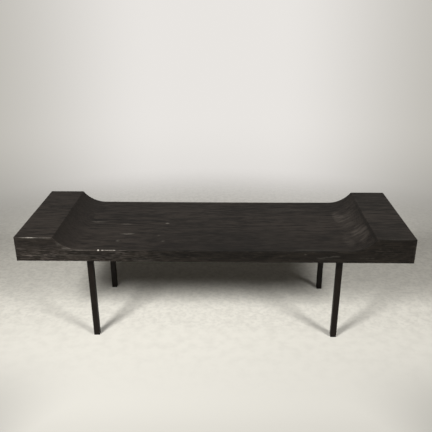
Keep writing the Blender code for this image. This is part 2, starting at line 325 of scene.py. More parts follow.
# Shares of the noises in the wood's tone and height, and the stretch over which each noise shows
BROAD_STREAK_SHARE = 0.32
FIBRE_SHARE = 0.28
PORE_SHARE = 0.12
CLOUD_SHARE = 0.22
LATE_WOOD_SHARE = 0.06
FIBRE_HEIGHT = 0.6
PORE_HEIGHT = 0.4
TONE_RISE = (0.400, 0.570)
TICK_RISE = (0.56, 0.70)
WEATHERED_RISE = (0.45, 0.65)
WEATHERED_PATCH_RISE = (0.32, 0.62)
WEATHERED_PATCH_SPAN = (0.40, 1.0)
RUBBED_RISE = (0.35, 0.65)
RAGGED_RISE = (0.36, 0.56)
RAGGED_SPAN = (0.35, 1.15)

# Colours and finish of the wood
FACE_DARK = (0.0021, 0.0016, 0.0011)
FACE_LIGHT = (0.0121, 0.0096, 0.0073)
FACE_TICK = (0.0185, 0.0152, 0.0123)
# The upper faces take a lighter copy of the face colours: painted light on the top
LIT_TOP_DARK = (0.0042, 0.0031, 0.0024)
LIT_TOP_LIGHT = (0.0256, 0.0206, 0.0175)
WOOD_RUBBED = (0.0480, 0.0410, 0.0355)
WOOD_WEATHERED = (0.0790, 0.0670, 0.0600)
WOOD_FIGURE = (0.0560, 0.0480, 0.0420)
# Colour of the darker patches
WOOD_DARKENED = (0.0050, 0.0040, 0.0032)
# Colour of wood worn through its finish, also given to the painted highlights
WOOD_BARE_AND_HIGHLIGHT = (0.6200, 0.5800, 0.5200)
COVE_TONE = 0.40
WOOD_ROUGHNESS = (0.74, 0.54)
WOOD_SPECULAR = 0.12
WOOD_BUMP = (0.30, 0.0005)

# Satin finishes of steel and plastic: base colour, colour of the mottle
LEG_COLOURS = ((0.0036, 0.0018, 0.0007), (0.0066, 0.0042, 0.0027))
PLATE_COLOURS = ((0.012, 0.0115, 0.011), (0.022, 0.021, 0.020))
WELD_COLOURS = ((0.010, 0.0095, 0.009), (0.022, 0.020, 0.018))
SCREW_COLOURS = ((0.050, 0.048, 0.045), (0.080, 0.077, 0.072))
GLIDE_COLOURS = ((0.008, 0.008, 0.008), (0.014, 0.014, 0.014))
SATIN_MOTTLE_RISE = (0.35, 0.70)
SATIN_ROUGHNESS = (0.40, 0.56)
SATIN_SPECULAR = 0.17
SATIN_BUMP = (0.1, 0.0002)

# Steel legs and their welds
LEG_WALL = 0.002
LEG_CORNER_RADIUS = 0.003
LEG_END_CHAMFER = 0.0004
LEG_ROW_STEP = 0.012
LEG_DENT_DEPTH = 0.00015
LEG_SHARP_ANGLE = math.radians(40.0)
ARC_POINTS = 6
SIDE_POINTS = 5
WELD_RIPPLE_PITCH = 0.0026
WELD_RIPPLE_DEPTH = 0.00070
WELD_BULGE = 0.0009
WELD_BULGE_LEAN = 0.7
WELD_FACE_POINTS = 7
WELD_PATH_STEP = 0.0005

# Pockets and pilot holes in the slab's underside
POCKET_GAP = 0.0005
POCKET_CORNER_RADIUS = 0.0085
SEATING_GAP = 0.0003
PILOT_HOLE_RADIUS = 0.0027
PILOT_HOLE_ROUNDNESS = 0.99
CUT_THROUGH = 0.002


# Numbers and meshes

def lattice_noise(places, period, seed):
    """Smooth seeded noise from 0 to 1 at each row of places, with one swell per period on each axis."""
    table = np.random.default_rng(seed).random((LATTICE_SIZE, LATTICE_SIZE, LATTICE_SIZE))
    scaled = places / np.asarray(period) + 0.5 * LATTICE_SIZE
    cell = np.floor(scaled).astype(int)
    part = scaled - cell
    part = part * part * (3 - 2 * part)
    total = 0.0
    for corner in np.ndindex(2, 2, 2):
        weight = np.prod(np.where(corner, part, 1 - part), axis=-1)
        at = (cell + corner) % LATTICE_SIZE
        total = total + weight * table[at[..., 0], at[..., 1], at[..., 2]]
    return total


def smooth_step(values, start, end):
    """0 below start, 1 above end, and a smooth rise between them."""
    share = np.clip((values - start) / (end - start), 0.0, 1.0)
    return share * share * (3 - 2 * share)


def mound(places, centre, reach):
    """1 at the centre, 0 from its reach on."""
    off = (places - np.asarray(centre)) / np.asarray(reach)
    return np.clip(1 - np.sum(off ** 2, axis=-1), 0.0, 1.0)


def link(thing):
    """Puts a new object into the scene."""
    bpy.context.scene.collection.objects.link(thing)
    return thing


def mesh_piece(name, points, faces):
    """A smooth-shaded mesh object from points and faces, with its faces turned outwards."""
    mesh = bpy.data.meshes.new(name)
    mesh.from_pydata([tuple(p) for p in points], [], [tuple(f) for f in faces])
    work = bmesh.new()
    work.from_mesh(mesh)
    bmesh.ops.recalc_face_normals(work, faces=work.faces)
    work.to_mesh(mesh)
    work.free()
    mesh.shade_smooth()
    return link(bpy.data.objects.new(name, mesh))


def quads(table):
    """Faces between neighbouring rows and columns of an index table."""
    corners = (table[:-1, :-1], table[:-1, 1:], table[1:, 1:], table[1:, :-1])
    return np.stack([corner.ravel() for corner in corners], axis=-1)


def closed_table(rows, columns):
    """Index table of a grid that closes on itself both ways, like a tyre."""
    table = np.arange(rows * columns).reshape(rows, columns)
    table = np.concatenate([table, table[:1]], axis=0)
    return np.concatenate([table, table[:, :1]], axis=1)


def rounded_square(half, radius):
    """Points and outward normals round a square with rounded corners."""
    points, normals = [], []
    core = half - radius
    along = np.arange(1, SIDE_POINTS)[:, None] / SIDE_POINTS
    for quarter in range(4):
        start = quarter * math.pi / 2
        diagonal = start + math.pi / 4
        end = start + math.pi / 2
        middle = math.sqrt(2) * core * np.array([math.cos(diagonal), math.sin(diagonal)])
        turn = start + np.linspace(0.0, math.pi / 2, ARC_POINTS + 1)
        arc = np.stack([np.cos(turn), np.sin(turn)], axis=-1)
        ahead = np.array([-math.sin(end), math.cos(end)])
        points += [middle + radius * arc, middle + radius * arc[-1] + 2 * core * along * ahead]
        normals += [arc, np.repeat(arc[-1:], SIDE_POINTS - 1, axis=0)]
    return np.concatenate(points), np.concatenate(normals)


def paint(mesh, name, values):
    """Keeps a value from 0 to 1 at each point of a mesh, for its material."""
    mesh.attributes.new(name, "FLOAT", "POINT").data.foreach_set("value", values.astype(np.float32))


def cut(piece, cutter):
    """Takes the cutter's volume out of a piece, and removes the cutter."""
    modifier = piece.modifiers.new("cut", "BOOLEAN")
    modifier.object = cutter
    evaluated = piece.evaluated_get(bpy.context.evaluated_depsgraph_get())
    mesh = bpy.data.meshes.new_from_object(evaluated)
    piece.modifiers.clear()
    piece.data = mesh
    bpy.data.objects.remove(cutter)


# Materials

class Graph:
    """A node tree with short calls for the nodes used here."""

    def __init__(self, tree):
        self.tree = tree
        tree.nodes.clear()

    def put(self, socket, value):
        if isinstance(value, bpy.types.NodeSocket):
            self.tree.links.new(value, socket)
        else:
            socket.default_value = value

    def node(self, kind, inputs, **settings):
        made = self.tree.nodes.new(kind)
        for name, value in settings.items():
            setattr(made, name, value)
        for key, value in inputs.items():
            self.put(made.inputs[key], value)
        return made

    def math(self, operation, first, second=0.0):
        return self.node("ShaderNodeMath", {0: first, 1: second}, operation=operation).outputs[0]

    def vector(self, operation, first, second):
        made = self.node("ShaderNodeVectorMath", {0: first, 1: second}, operation=operation)
        return made.outputs[0]

    def length(self, vector):
        return self.node("ShaderNodeVectorMath", {0: vector}, operation="LENGTH").outputs["Value"]

    def place(self):
        return self.node("ShaderNodeTexCoord", {}).outputs["Object"]

    def attribute(self, name):
        return self.node("ShaderNodeAttribute", {}, attribute_name=name).outputs["Fac"]

    def noise(self, place, stretch, detail, roughness):
        """Noise from 0 to 1, with as many swells per metre along each axis as stretch says."""
        scaled = self.vector("MULTIPLY", place, stretch)
        inputs = {"Vector": scaled, "Scale": 1.0, "Detail": detail, "Roughness": roughness}
        return self.node("ShaderNodeTexNoise", inputs).outputs["Fac"]

    def drift(self, place, stretch, reach):
        """Place moved by a slow noise, at most by half of reach along each axis."""
        scaled = self.vector("MULTIPLY", place, stretch)
        inputs = {"Vector": scaled, "Scale": 1.0, "Detail": DRIFT_DETAIL}
        noise = self.node("ShaderNodeTexNoise", inputs).outputs["Color"]
        centred = self.vector("SUBTRACT", noise, NOISE_MIDDLE)
        return self.vector("ADD", place, self.vector("MULTIPLY", centred, reach))

    def rise(self, value, start, end):
        """0 up to start, 1 from end on, and a smooth rise between them."""
        inputs = {"Value": value, "From Min": start, "From Max": end}
        return self.node("ShaderNodeMapRange", inputs, interpolation_type="SMOOTHSTEP").outputs[0]

    def span(self, value, low, high):
        """A value from 0 to 1 spread from low to high."""
        inputs = {"Value": value, "To Min": low, "To Max": high}
        return self.node("ShaderNodeMapRange", inputs).outputs[0]

    def lean(self, value, target, share):
        """A value moved towards a target by a share of the way."""
        kept = self.math("MULTIPLY", value, self.math("SUBTRACT", 1.0, share))
        return self.math("ADD", kept, self.math("MULTIPLY", share, target))

    def blend(self, parts):
        """Sum of values, each times its weight."""
        total = 0.0
        for value, weight in parts:
            total = self.math("ADD", total, self.math("MULTIPLY", value, weight))
        return total

    def off_centre(self, place, centre, reach):
        """Squared distance from a centre, 1 at its reach."""
        off = self.vector("SUBTRACT", place, centre)
        scaled = self.vector("MULTIPLY", off, tuple(1 / r for r in reach))
        return self.math("POWER", self.length(scaled), 2.0)

    def mix(self, share, first, second):
        """The first colour at a share of 0, the second at 1."""
        made = self.node("ShaderNodeMix", {}, data_type="RGBA")
        self.put(made.inputs[MIX_SHARE], share)
        self.put(made.inputs[MIX_FIRST], colour(first))
        self.put(made.inputs[MIX_SECOND], colour(second))
        return made.outputs[MIX_RESULT]

    def bump(self, height, strength, distance):
        inputs = {"Height": height, "Strength": strength, "Distance": distance}
        return self.node("ShaderNodeBump", inputs).outputs["Normal"]


def colour(value):
    """A colour with its alpha, or a socket as it is."""
    if isinstance(value, bpy.types.NodeSocket):
        return value
    return (*value, 1.0)


def new_material(name):
    """A material and its empty graph."""
    made = bpy.data.materials.new(name)
    made.use_nodes = True
    return made, Graph(made.node_tree)


def finish_material(graph, **inputs):
    """Ends a graph in a Principled shader with the given inputs."""
    shader = graph.node("ShaderNodeBsdfPrincipled", {})
    for key, value in inputs.items():
        graph.put(shader.inputs[key.replace("_", " ")], value)
    graph.node("ShaderNodeOutputMaterial", {"Surface": shader.outputs[0]})


def growth_rings(g, place, bent):
    """Share of the way across each growth ring, from 0 to 1. The rings swell at the knots."""
    across = g.vector("MULTIPLY", g.vector("SUBTRACT", bent, RING_PITH), ACROSS_GRAIN)
    radius = g.length(across)
    for centre, reach, rise in KNOTS:
        swell = g.math("EXPONENT", g.math("MULTIPLY", g.off_centre(place, centre, reach), -1.0))
        radius = g.math("ADD", radius, g.math("MULTIPLY", swell, rise))
    return g.math("FRACT", g.math("DIVIDE", radius, RING_SPACING))


def seat_flecks(g, place):
    """Pale flecks and streaks on the seat."""
    ragged = g.drift(place, FLECK_DRIFT_SCALE, FLECK_DRIFT_REACH)
    total = 0.0
    for (x, y), (half_x, half_y), strength in SEAT_FLECKS:
        off = g.off_centre(ragged, (x, y, SEAT_HEIGHT), (half_x, half_y, FLECK_DEPTH))
        spot = g.math("MULTIPLY", g.math("SUBTRACT", 1.0, off), strength)
        total = g.math("MAXIMUM", total, spot)
    return total


def figure_strokes(g, place):
    """Strokes of the figure, along the grain and leaning a little towards the back."""
    parts = g.node("ShaderNodeSeparateXYZ", {0: place})
    leaning = g.math("MULTIPLY", parts.outputs["X"], FIGURE_STROKE_LEAN)
    across = g.math("SUBTRACT", parts.outputs["Y"], leaning)
    flat = g.node("ShaderNodeCombineXYZ", {"X": parts.outputs["X"], "Y": across}).outputs[0]
    return g.rise(g.noise(flat, *FIGURE_STROKE_NOISE), *FIGURE_STROKE_RISE)


def wood_material():
    """Blackened hardwood: slow rings, long fibres, dull wax, worn to pale wood in places, with painted
    top light and highlights.
    """
    made, g = new_material("wood_finish")
    place = g.place()
    bent = g.drift(place, GRAIN_DRIFT_SCALE, GRAIN_DRIFT_REACH)
    ring = growth_rings(g, place, bent)
    past_late = g.rise(ring, *LATE_WOOD_FALL)
    late = g.math("MULTIPLY", g.rise(ring, *LATE_WOOD_RISE), g.math("SUBTRACT", 1.0, past_late))
    fibres = g.noise(bent, *FIBRE_NOISE)
    pores = g.noise(bent, *PORE_NOISE)
    tone = g.blend((
        (g.noise(bent, *BROAD_STREAK_NOISE), BROAD_STREAK_SHARE),
        (fibres, FIBRE_SHARE),
        (pores, PORE_SHARE),
        (g.noise(place, *CLOUD_NOISE), CLOUD_SHARE),
        (late, LATE_WOOD_SHARE),
    ))
    light = g.lean(g.rise(tone, *TONE_RISE), COVE_TONE, g.attribute("cove"))
    light = g.lean(light, late, g.attribute("end_grain"))
    ticks = g.rise(g.noise(bent, *TICK_NOISE), *TICK_RISE)
    face = g.mix(ticks, g.mix(light, FACE_DARK, FACE_LIGHT), FACE_TICK)
    # The upper faces get the lighter top colours: painted light on the top
    top = g.mix(light, LIT_TOP_DARK, LIT_TOP_LIGHT)
    shade = g.mix(g.attribute("painted_top_light"), face, top)

    straight = g.drift(place, GRAIN_DRIFT_SCALE, WEATHERED_DRIFT_REACH)
    streaks = g.rise(g.noise(straight, *WEATHERED_NOISE), *WEATHERED_RISE)
    patches = g.rise(g.noise(straight, *WEATHERED_PATCH_NOISE), *WEATHERED_PATCH_RISE)
    streaks = g.math("MULTIPLY", streaks, g.span(patches, *WEATHERED_PATCH_SPAN))
    streaks = g.lean(streaks, EVEN_TONE, g.attribute("even"))
    shade = g.mix(g.math("MULTIPLY", g.attribute("weathered"), streaks), shade, WOOD_WEATHERED)
    strokes = g.span(figure_strokes(g, place), *FIGURE_SPAN)
    shade = g.mix(g.math("MULTIPLY", g.attribute("figure"), strokes), shade, WOOD_FIGURE)
    patchy = g.rise(fibres, *RUBBED_RISE)
    shade = g.mix(g.math("MULTIPLY", g.attribute("arris"), patchy), shade, WOOD_RUBBED)
    # Darker patches: bands on the coves, a patch on the seat and the listed spots
    shade = g.mix(g.attribute("dark_patches"), shade, WOOD_DARKENED)
    flecks = g.math("MULTIPLY", seat_flecks(g, place), FLECK_STRENGTH)
    # Pale worn-through wood, painted highlights along arrises, and the seat's pale flecks
    worn = g.math("MAXIMUM", g.attribute("bare_and_highlight"), flecks)
    ragged = g.span(g.rise(g.noise(place, *RAGGED_NOISE), *RAGGED_RISE), *RAGGED_SPAN)
    shade = g.mix(g.math("MULTIPLY", worn, ragged), shade, WOOD_BARE_AND_HIGHLIGHT)

    height = g.blend(((fibres, FIBRE_HEIGHT), (pores, PORE_HEIGHT)))
    finish_material(
        g, Base_Color=shade, Roughness=g.span(fibres, *WOOD_ROUGHNESS),
        Specular_IOR_Level=WOOD_SPECULAR, Normal=g.bump(height, *WOOD_BUMP),
    )
    return made


def satin_material(name, base, worn):
    """A dark satin finish with a faint mottle, for the steel and for the plastic glides."""
    made, g = new_material(name)
    place = g.place()
    mottle = g.noise(place, *SATIN_MOTTLE_NOISE)
    finish_material(
        g, Base_Color=g.mix(g.rise(mottle, *SATIN_MOTTLE_RISE), base, worn),
        Roughness=g.span(mottle, *SATIN_ROUGHNESS), Specular_IOR_Level=SATIN_SPECULAR,
        Normal=g.bump(g.noise(place, *SATIN_GRAIN_NOISE), *SATIN_BUMP),
    )
    return made


# Slab

def seat_limits(high):
    """Distance from the middle to the end of the flat seat, and to the arris of the raised end."""
    arris = high.x - RAISED_END_LENGTH
    rise = high.z - SEAT_HEIGHT
    return arris - math.sqrt(COVE_RADIUS ** 2 - (COVE_RADIUS - rise) ** 2), arris


def slab_top(x, high):
    """Height of the slab's upper face: dished seat, cove, then raised end."""
    seat_end, _ = seat_limits(high)
    run = np.clip(np.abs(x) - seat_end, 0.0, COVE_SWEEP * COVE_RADIUS)
    dish = SEAT_DISH * np.clip(1 - (x / seat_end) ** 2, 0.0, 1.0)
    hollow = SEAT_HEIGHT - dish + COVE_RADIUS - np.sqrt(COVE_RADIUS ** 2 - run ** 2)
    return 0.5 * (hollow + high.z - np.sqrt((hollow - high.z) ** 2 + COVE_ARRIS_ROUND ** 2))


def slab_stations(high):
    """Place of every cross-section along the bench, closest together where the shape turns."""
    seat_end, arris = seat_limits(high)
    flat_end = high.x - END_ROUND_REACH
    turn = np.linspace(0.0, math.pi / 2, END_ROUND_STEPS)
    half = np.concatenate([
        np.arange(0.0, seat_end, SEAT_STEP),
        np.arange(seat_end, arris - ARRIS_REACH, COVE_STEP),
        np.linspace(arris - ARRIS_REACH, arris + ARRIS_REACH, ARRIS_STEPS + 1),
        np.arange(arris + ARRIS_REACH + SEAT_STEP, flat_end - SEAT_STEP / 2, SEAT_STEP),
        high.x - END_ROUND_REACH * (1 - np.sin(turn)),
    ])
    chips = [np.linspace(place - half_length, place + half_length, CHIP_STEPS)
             for place, half_length, _ in FRONT_CHIPS]
    stations = np.sort(np.concatenate([-half, half, *chips]))
    kept = np.concatenate([[True], np.diff(stations) > LEAST_STEP])
    kept[-1] = True
    return stations[kept]


def slab_trip():
    """One trip round a cross-section, from the middle of the lower front arris along the underside.

    Each point has the corner it leaves, the corner it goes to, its share of the way and the angle
    of its normal. Corners are numbered lower back, upper back, upper front, lower front.
    """
    runs = []
    for count in (LONG_RUN_POINTS, SHORT_RUN_POINTS):
        even = np.arange(1, count) / count
        runs.append(even - RUN_CROWDING * np.sin(2 * math.pi * even) / (2 * math.pi))
    quarter = np.linspace(0.0, math.pi / 2, CORNER_POINTS + 1)
    middle = CORNER_POINTS // 2
    trip = [(LOWER_FRONT, LOWER_FRONT, 0.0, math.pi + angle) for angle in quarter[middle:]]
    for corner, run in enumerate(runs * 2):
        facing = (corner - 1) * math.pi / 2
        trip += [((corner - 1) % 4, corner, share, facing) for share in run]
        arc = quarter[:middle] if corner == LOWER_FRONT else quarter
        trip += [(corner, corner, 0.0, facing + angle) for angle in arc]
    return trip


def arris_rounds(stations, high):
    """Radius of each long arris at each station, in the order of the corners."""
    still = np.zeros_like(stations)
    along = np.stack([stations, still, still], axis=-1)
    lower = (LOWER_ARRIS_ROUND, LOWER_ARRIS_WEAR)
    upper = (TOP_ARRIS_ROUND, TOP_ARRIS_WEAR)
    rounds = []
    for seed, (base, wear) in zip(ARRIS_SEEDS, (lower, upper, upper, lower)):
        slow = lattice_noise(along, ARRIS_SLOW_PERIOD, seed)
        quick = lattice_noise(along, ARRIS_QUICK_PERIOD, seed + ARRIS_QUICK_SEED_STEP)
        rounds.append(base + wear * (ARRIS_SLOW_SHARE * slow + ARRIS_QUICK_SHARE * quick))
    front = rounds[UPPER_FRONT]
    for place, half_length, depth in FRONT_CHIPS:
        off = (stations - place) / half_length
        front = front + depth * np.sqrt(np.clip(1 - off ** 2, 0.0, 1.0))
    seat_end, arris = seat_limits(high)
    rubbed = smooth_step(stations, *RIGHT_EDGE_FROM) * (1 - smooth_step(stations, seat_end, arris))
    rounds[UPPER_FRONT] = front + RIGHT_EDGE_ROUND * rubbed
    return np.stack(rounds, axis=-1)


def slab_grid(low, high):
    """Points of the slab's skin, as a grid of stations by trip points, and each trip point's normal."""
    stations = slab_stations(high)
    leaves, goes, share, angle = (np.array(column) for column in zip(*slab_trip()))
    normal = np.stack([np.cos(angle), np.sin(angle)], axis=-1)
    top = slab_top(stations, high)
    rounds = arris_rounds(stations, high)

    trip_place = np.stack([np.zeros_like(share), normal[:, 0] + share, normal[:, 1] - share], axis=-1)
    end_round = END_ARRIS_ROUND + END_ARRIS_WEAR * lattice_noise(trip_place, *END_ARRIS_NOISE)
    at_left = (stations < 0)[:, None]
    end_round = end_round + LEFT_CORNER_ROUND * at_left * np.clip(-normal[:, 0], 0.0, 1.0)
    bite = np.clip(end_round - (high.x - np.abs(stations))[:, None], 0.0, None)
    inset = end_round - np.sqrt(np.clip(end_round ** 2 - bite ** 2, 0.0, None))

    sides = np.array(((1, -1), (1, 1), (-1, 1), (-1, -1)))
    ends = []
    for corner in (leaves, goes):
        side = sides[corner]
        radius = rounds[:, corner] + inset
        outer_z = np.where(side[:, 1] > 0, top[:, None], low.z)
        centre_y = side[:, 0] * (high.y - radius)
        centre_z = outer_z - side[:, 1] * radius
        rim_y = centre_y + radius * normal[:, 0]
        rim_z = centre_z + radius * normal[:, 1]
        ends.append(np.stack([rim_y, rim_z], axis=-1))
    section = ends[0] + share[:, None] * (ends[1] - ends[0]) - inset[..., None] * normal
    along = np.broadcast_to(stations[:, None, None], (*section.shape[:2], 1))
    return np.concatenate([along, section], axis=-1), normal


def wear_slab(grid, normal):
    """Moves the skin inwards by plane marks on top, and by grain relief on the faces."""
    marks = lattice_noise(grid, *PLANE_MARKS_NOISE)
    relief = lattice_noise(grid, *FACE_RELIEF_NOISE)
    rough = lattice_noise(grid, *WEATHERED_RELIEF_NOISE)
    front = np.clip(-normal[:, 0], 0.0, 1.0)
    upper = np.clip(normal[:, 1], 0.0, 1.0)
    weathered = front * (1 - smooth_step(grid[..., 0], WEATHERED_FULL_TO, WEATHERED_UNTIL))
    depth = upper * PLANE_MARKS_DEPTH * marks + (1 - upper) * FACE_RELIEF_DEPTH * relief
    depth = depth + weathered * WEATHERED_RELIEF_DEPTH * rough
    worn = grid.copy()
    worn[..., 1:] -= depth[..., None] * normal
    return worn


def break_corner(points, high):
    """Breaks the raised back corner at the right: points past a rough slope fall back to it."""
    slope = np.array(BROKEN_CORNER_SLOPE) / np.linalg.norm(BROKEN_CORNER_SLOPE)
    rough = BROKEN_CORNER_ROUGHNESS * lattice_noise(points, *BROKEN_CORNER_NOISE)
    depth = BROKEN_CORNER_DEPTH * (1 - BROKEN_CORNER_ROUGHNESS + rough)
    past = (points - np.array(high)) @ slope + depth
    return points - np.clip(past, 0.0, None)[:, None] * slope


def end_patch(count, ring):
    """Index table of a patch that closes an end: the ring round it, new points from count on inside."""
    across = LONG_RUN_POINTS + CORNER_POINTS
    up = SHORT_RUN_POINTS + CORNER_POINTS
    table = np.zeros((up + 1, across + 1), int)
    table[0, :] = ring[:across + 1]
    table[:, across] = ring[across:across + up + 1]
    table[up, ::-1] = ring[across + up:2 * across + up + 1]
    table[::-1, 0] = np.append(ring[2 * across + up:], ring[0])
    table[1:up, 1:across] = count + np.arange((up - 1) * (across - 1)).reshape(up - 1, across - 1)
    return table


def patch_points(table, points):
    """Inner points of an end patch, spread evenly between its four borders."""
    up, across = table.shape[0] - 1, table.shape[1] - 1
    u = (np.arange(1, across) / across)[None, :, None]
    v = (np.arange(1, up) / up)[:, None, None]
    lower, upper = points[table[0, 1:across]], points[table[up, 1:across]]
    near, far = points[table[1:up, 0]][:, None], points[table[1:up, across]][:, None]
    corners = (
        (1 - u) * (1 - v) * points[table[0, 0]] + u * (1 - v) * points[table[0, across]]
        + (1 - u) * v * points[table[up, 0]] + u * v * points[table[up, across]]
    )
    return ((1 - v) * lower + v * upper + (1 - u) * near + u * far - corners).reshape(-1, 3)


def weathered_share(points, high):
    """Grey weathering: strong on the left of the front face, weak on the back and the ends."""
    x, y, z = points.T
    front = np.exp(-(y + high.y) / FACE_FADE)
    others = np.exp(-np.minimum(high.x - np.abs(x), high.y - y) / FACE_FADE)
    left = 1 - smooth_step(x, WEATHERED_FULL_TO, WEATHERED_UNTIL)
    left_end = smooth_step(-x, *LEFT_END_FROM)
    exposed = 1 - SHELTERED_SHARE * smooth_step(z, *SHELTERED_ABOVE)
    faded = WEATHERED_LEAST + (WEATHERED_LEFT + WEATHERED_LEFT_END * left_end) * left
    return np.maximum(front * exposed * faded, WEATHERED_OTHERS * others)


def bare_and_highlight_share(points):
    """Pale wood where the finish is worn through, and painted highlights along arrises, at the listed
    spots.
    """
    bare_and_highlight = np.zeros(len(points))
    for place, reach, strength in BARE_AND_HIGHLIGHT_SPOTS:
        spot = np.clip(SPOT_PLATEAU * mound(points, place, reach), 0.0, 1.0)
        bare_and_highlight = np.maximum(bare_and_highlight, strength * spot)
    return bare_and_highlight


def figure_share(points):
    """Light figure of the wood, on the upper face."""
    figure = sum(strength * mound(points[:, :2], place, reach) for place, reach, strength in FIGURES)
    return np.clip(figure, 0.0, 1.0) * (points[:, 2] > SEAT_HEIGHT - FIGURE_BELOW_SEAT)


def dark_patch_share(points, upper, top_gap, high):
    """Darker patches: below the arris of each cove, in the hollow of the seat and at the dark spots."""
    x, y, _ = points.T
    _, arris = seat_limits(high)
    band = np.exp(-((arris - COVE_DARK_BELOW_ARRIS - np.abs(x)) / COVE_DARK_REACH) ** 2)
    towards_front = 1 - smooth_step(y, *COVE_DARK_BACK_FADE)
    band = band * upper * np.where(x > 0, COVE_DARK_RIGHT * towards_front, COVE_DARK_LEFT)
    hollow = SEAT_DARK * mound(points[:, :2], SEAT_DARK_PLACE, SEAT_DARK_REACH)
    dark_patches = np.maximum(hollow * (top_gap < TOP_ROLL), band)
    for place, reach, strength in DARK_SPOTS:
        dark_patches = np.maximum(dark_patches, strength * mound(points, place, reach))
    return dark_patches


def cove_share(points, upper, high):
    """How even the tone of the wood is on each cove."""
    x = points[:, 0]
    seat_end, arris = seat_limits(high)
    slope = np.clip((np.abs(x) - seat_end) / (arris - seat_end), 0.0, 1.0) * (np.abs(x) < arris)
    calm = np.where(x > 0, RIGHT_COVE_CALM, LEFT_COVE_CALM)
    return calm * upper * smooth_step(slope, *COVE_CALM_RISE)


def paint_slab(mesh, points, low, high):
    """Marks how each point of the slab has worn, where it takes painted top light and highlights, and
    its darker patches, for its material.
    """
    x, y, z = points.T
    end_gap = high.x - np.abs(x)
    top_gap = slab_top(x, high) - z
    below_top = np.clip(top_gap, 0.0, None)
    arris_gap = np.sort(np.stack([end_gap, high.y - np.abs(y), top_gap, z - low.z]), axis=0)[1]
    upper = np.exp(-below_top / UPPER_FADE)
    polished = smooth_step(x, *POLISHED_FROM) * np.exp(-((y + high.y) / POLISHED_REACH) ** 2)
    paint(mesh, "arris", (1 - polished) * upper * np.exp(-arris_gap / ARRIS_FADE))
    paint(mesh, "weathered", weathered_share(points, high))
    paint(mesh, "end_grain", END_GRAIN_SHOW * np.exp(-end_gap / END_FADE))
    paint(mesh, "even", EVEN_SHARE * smooth_step(z, *EVEN_ABOVE))
    # Painted light: the upper faces and the top of their arrises take the lighter top colours
    paint(mesh, "painted_top_light", (1 - polished) * np.exp(-(below_top / TOP_ROLL) ** 2))
    paint(mesh, "bare_and_highlight", bare_and_highlight_share(points))
    paint(mesh, "figure", figure_share(points))
    paint(mesh, "dark_patches", dark_patch_share(points, upper, top_gap, high))
    paint(mesh, "cove", cove_share(points, upper, high))


def rounded_prisms(name, squares, bottom, top):
    """One mesh of upright prisms on rounded squares, by centre, half side and corner radius."""
    points, faces = [], []
    for (x, y), half, radius in squares:
        outline, _ = rounded_square(half, radius)
        first, count = len(points), len(outline)
        points += [(x + px, y + py, z) for z in (bottom, top) for px, py in outline]
        faces += [range(first, first + count), range(first + count, first + 2 * count)]
        for i in range(count):
            j = (i + 1) % count
            faces.append((first + i, first + j, first + count + j, first + count + i))
    return mesh_piece(name, points, faces)


def cut_underside(slab):
    """Cuts the plates' pockets and the screws' pilot holes into the slab's underside."""
    pockets, holes = [], []
    for corner in CORNERS:
        low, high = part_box(f"mounting_plate_{corner}")
        middle = (low + high) / 2
        pockets.append((middle.xy, (high.x - low.x) / 2 + POCKET_GAP, POCKET_CORNER_RADIUS))
        for number in range(1, SCREWS_PER_PLATE + 1):
            screw_low, screw_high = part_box(f"plate_screw_{corner}_{number}")
            place = (screw_low + screw_high) / 2
            holes.append((place.xy, PILOT_HOLE_RADIUS, PILOT_HOLE_RADIUS * PILOT_HOLE_ROUNDNESS))
    # All plates are level, and all screws too, so the last of each gives the heights
    cut(slab, rounded_prisms("pockets", pockets, low.z - CUT_THROUGH, high.z + SEATING_GAP))
    cut(slab, rounded_prisms("pilot_holes", holes, low.z - CUT_THROUGH, screw_high.z + SEATING_GAP))


def build_slab():
    """The hollowed slab, with worn arrises, plane marks and grain relief."""
    low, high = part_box("seat_slab")
    grid = wear_slab(*slab_grid(low, high))
    stations, loop = grid.shape[:2]
    table = np.arange(stations * loop).reshape(stations, loop)
    points = grid.reshape(-1, 3)
    faces = [quads(np.concatenate([table, table[:, :1]], axis=1))]
    for ring in (table[0], table[-1]):
        patch = end_patch(len(points), ring)
        points = np.concatenate([points, patch_points(patch, points)])
        faces.append(quads(patch))
    points = break_corner(points, high)
    slab = mesh_piece("hollowed_slab", points, np.concatenate(faces))
    paint_slab(slab.data, points, low, high)
    cut_underside(slab)
    slab.data.set_sharp_from_angle(angle=SLAB_SHARP_ANGLE)
    return slab


# Legs and welds

def build_leg(corner):
    """A square steel tube with rounded corners, open bore and softened ends."""
    low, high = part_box(f"leg_{corner}")
    half = (high.x - low.x) / 2
    middle = (low + high) / 2
    rows = [(LEG_END_CHAMFER, low.z)]
    count = round((high.z - low.z) / LEG_ROW_STEP)
    rows += [(0.0, z) for z in np.linspace(low.z + LEG_END_CHAMFER, high.z - LEG_END_CHAMFER, count)]
    rows += [(LEG_END_CHAMFER, high.z), (LEG_WALL, high.z), (LEG_WALL, low.z)]
    points = []
    for inset, z in rows:
        outline, _ = rounded_square(half - inset, LEG_CORNER_RADIUS - inset)
        points += [(middle.x + x, middle.y + y, z) for x, y in outline]
    points = np.array(points)
    dents = LEG_DENT_DEPTH * lattice_noise(points, *LEG_DENT_NOISE)
    off = points[:, :2] - np.array(middle.xy)
    points[:, :2] -= dents[:, None] * off / half
    piece = mesh_piece(f"square_leg_{corner}", points, quads(closed_table(len(rows), len(outline))))
    piece.data.set_sharp_from_angle(angle=LEG_SHARP_ANGLE)
    return piece


def walk(path, normals):
    """A closed path and its normals, at even short steps."""
    ring = np.concatenate([path, path[:1]])
    ring_normals = np.concatenate([normals, normals[:1]])
    travelled = np.concatenate([[0.0], np.cumsum(np.linalg.norm(np.diff(ring, axis=0), axis=-1))])
    at = np.linspace(0.0, travelled[-1], round(travelled[-1] / WELD_PATH_STEP), endpoint=False)
    place = np.stack([np.interp(at, travelled, ring[:, i]) for i in range(2)], axis=-1)
    normal = np.stack([np.interp(at, travelled, ring_normals[:, i]) for i in range(2)], axis=-1)
    return place, normal / np.linalg.norm(normal, axis=-1, keepdims=True)


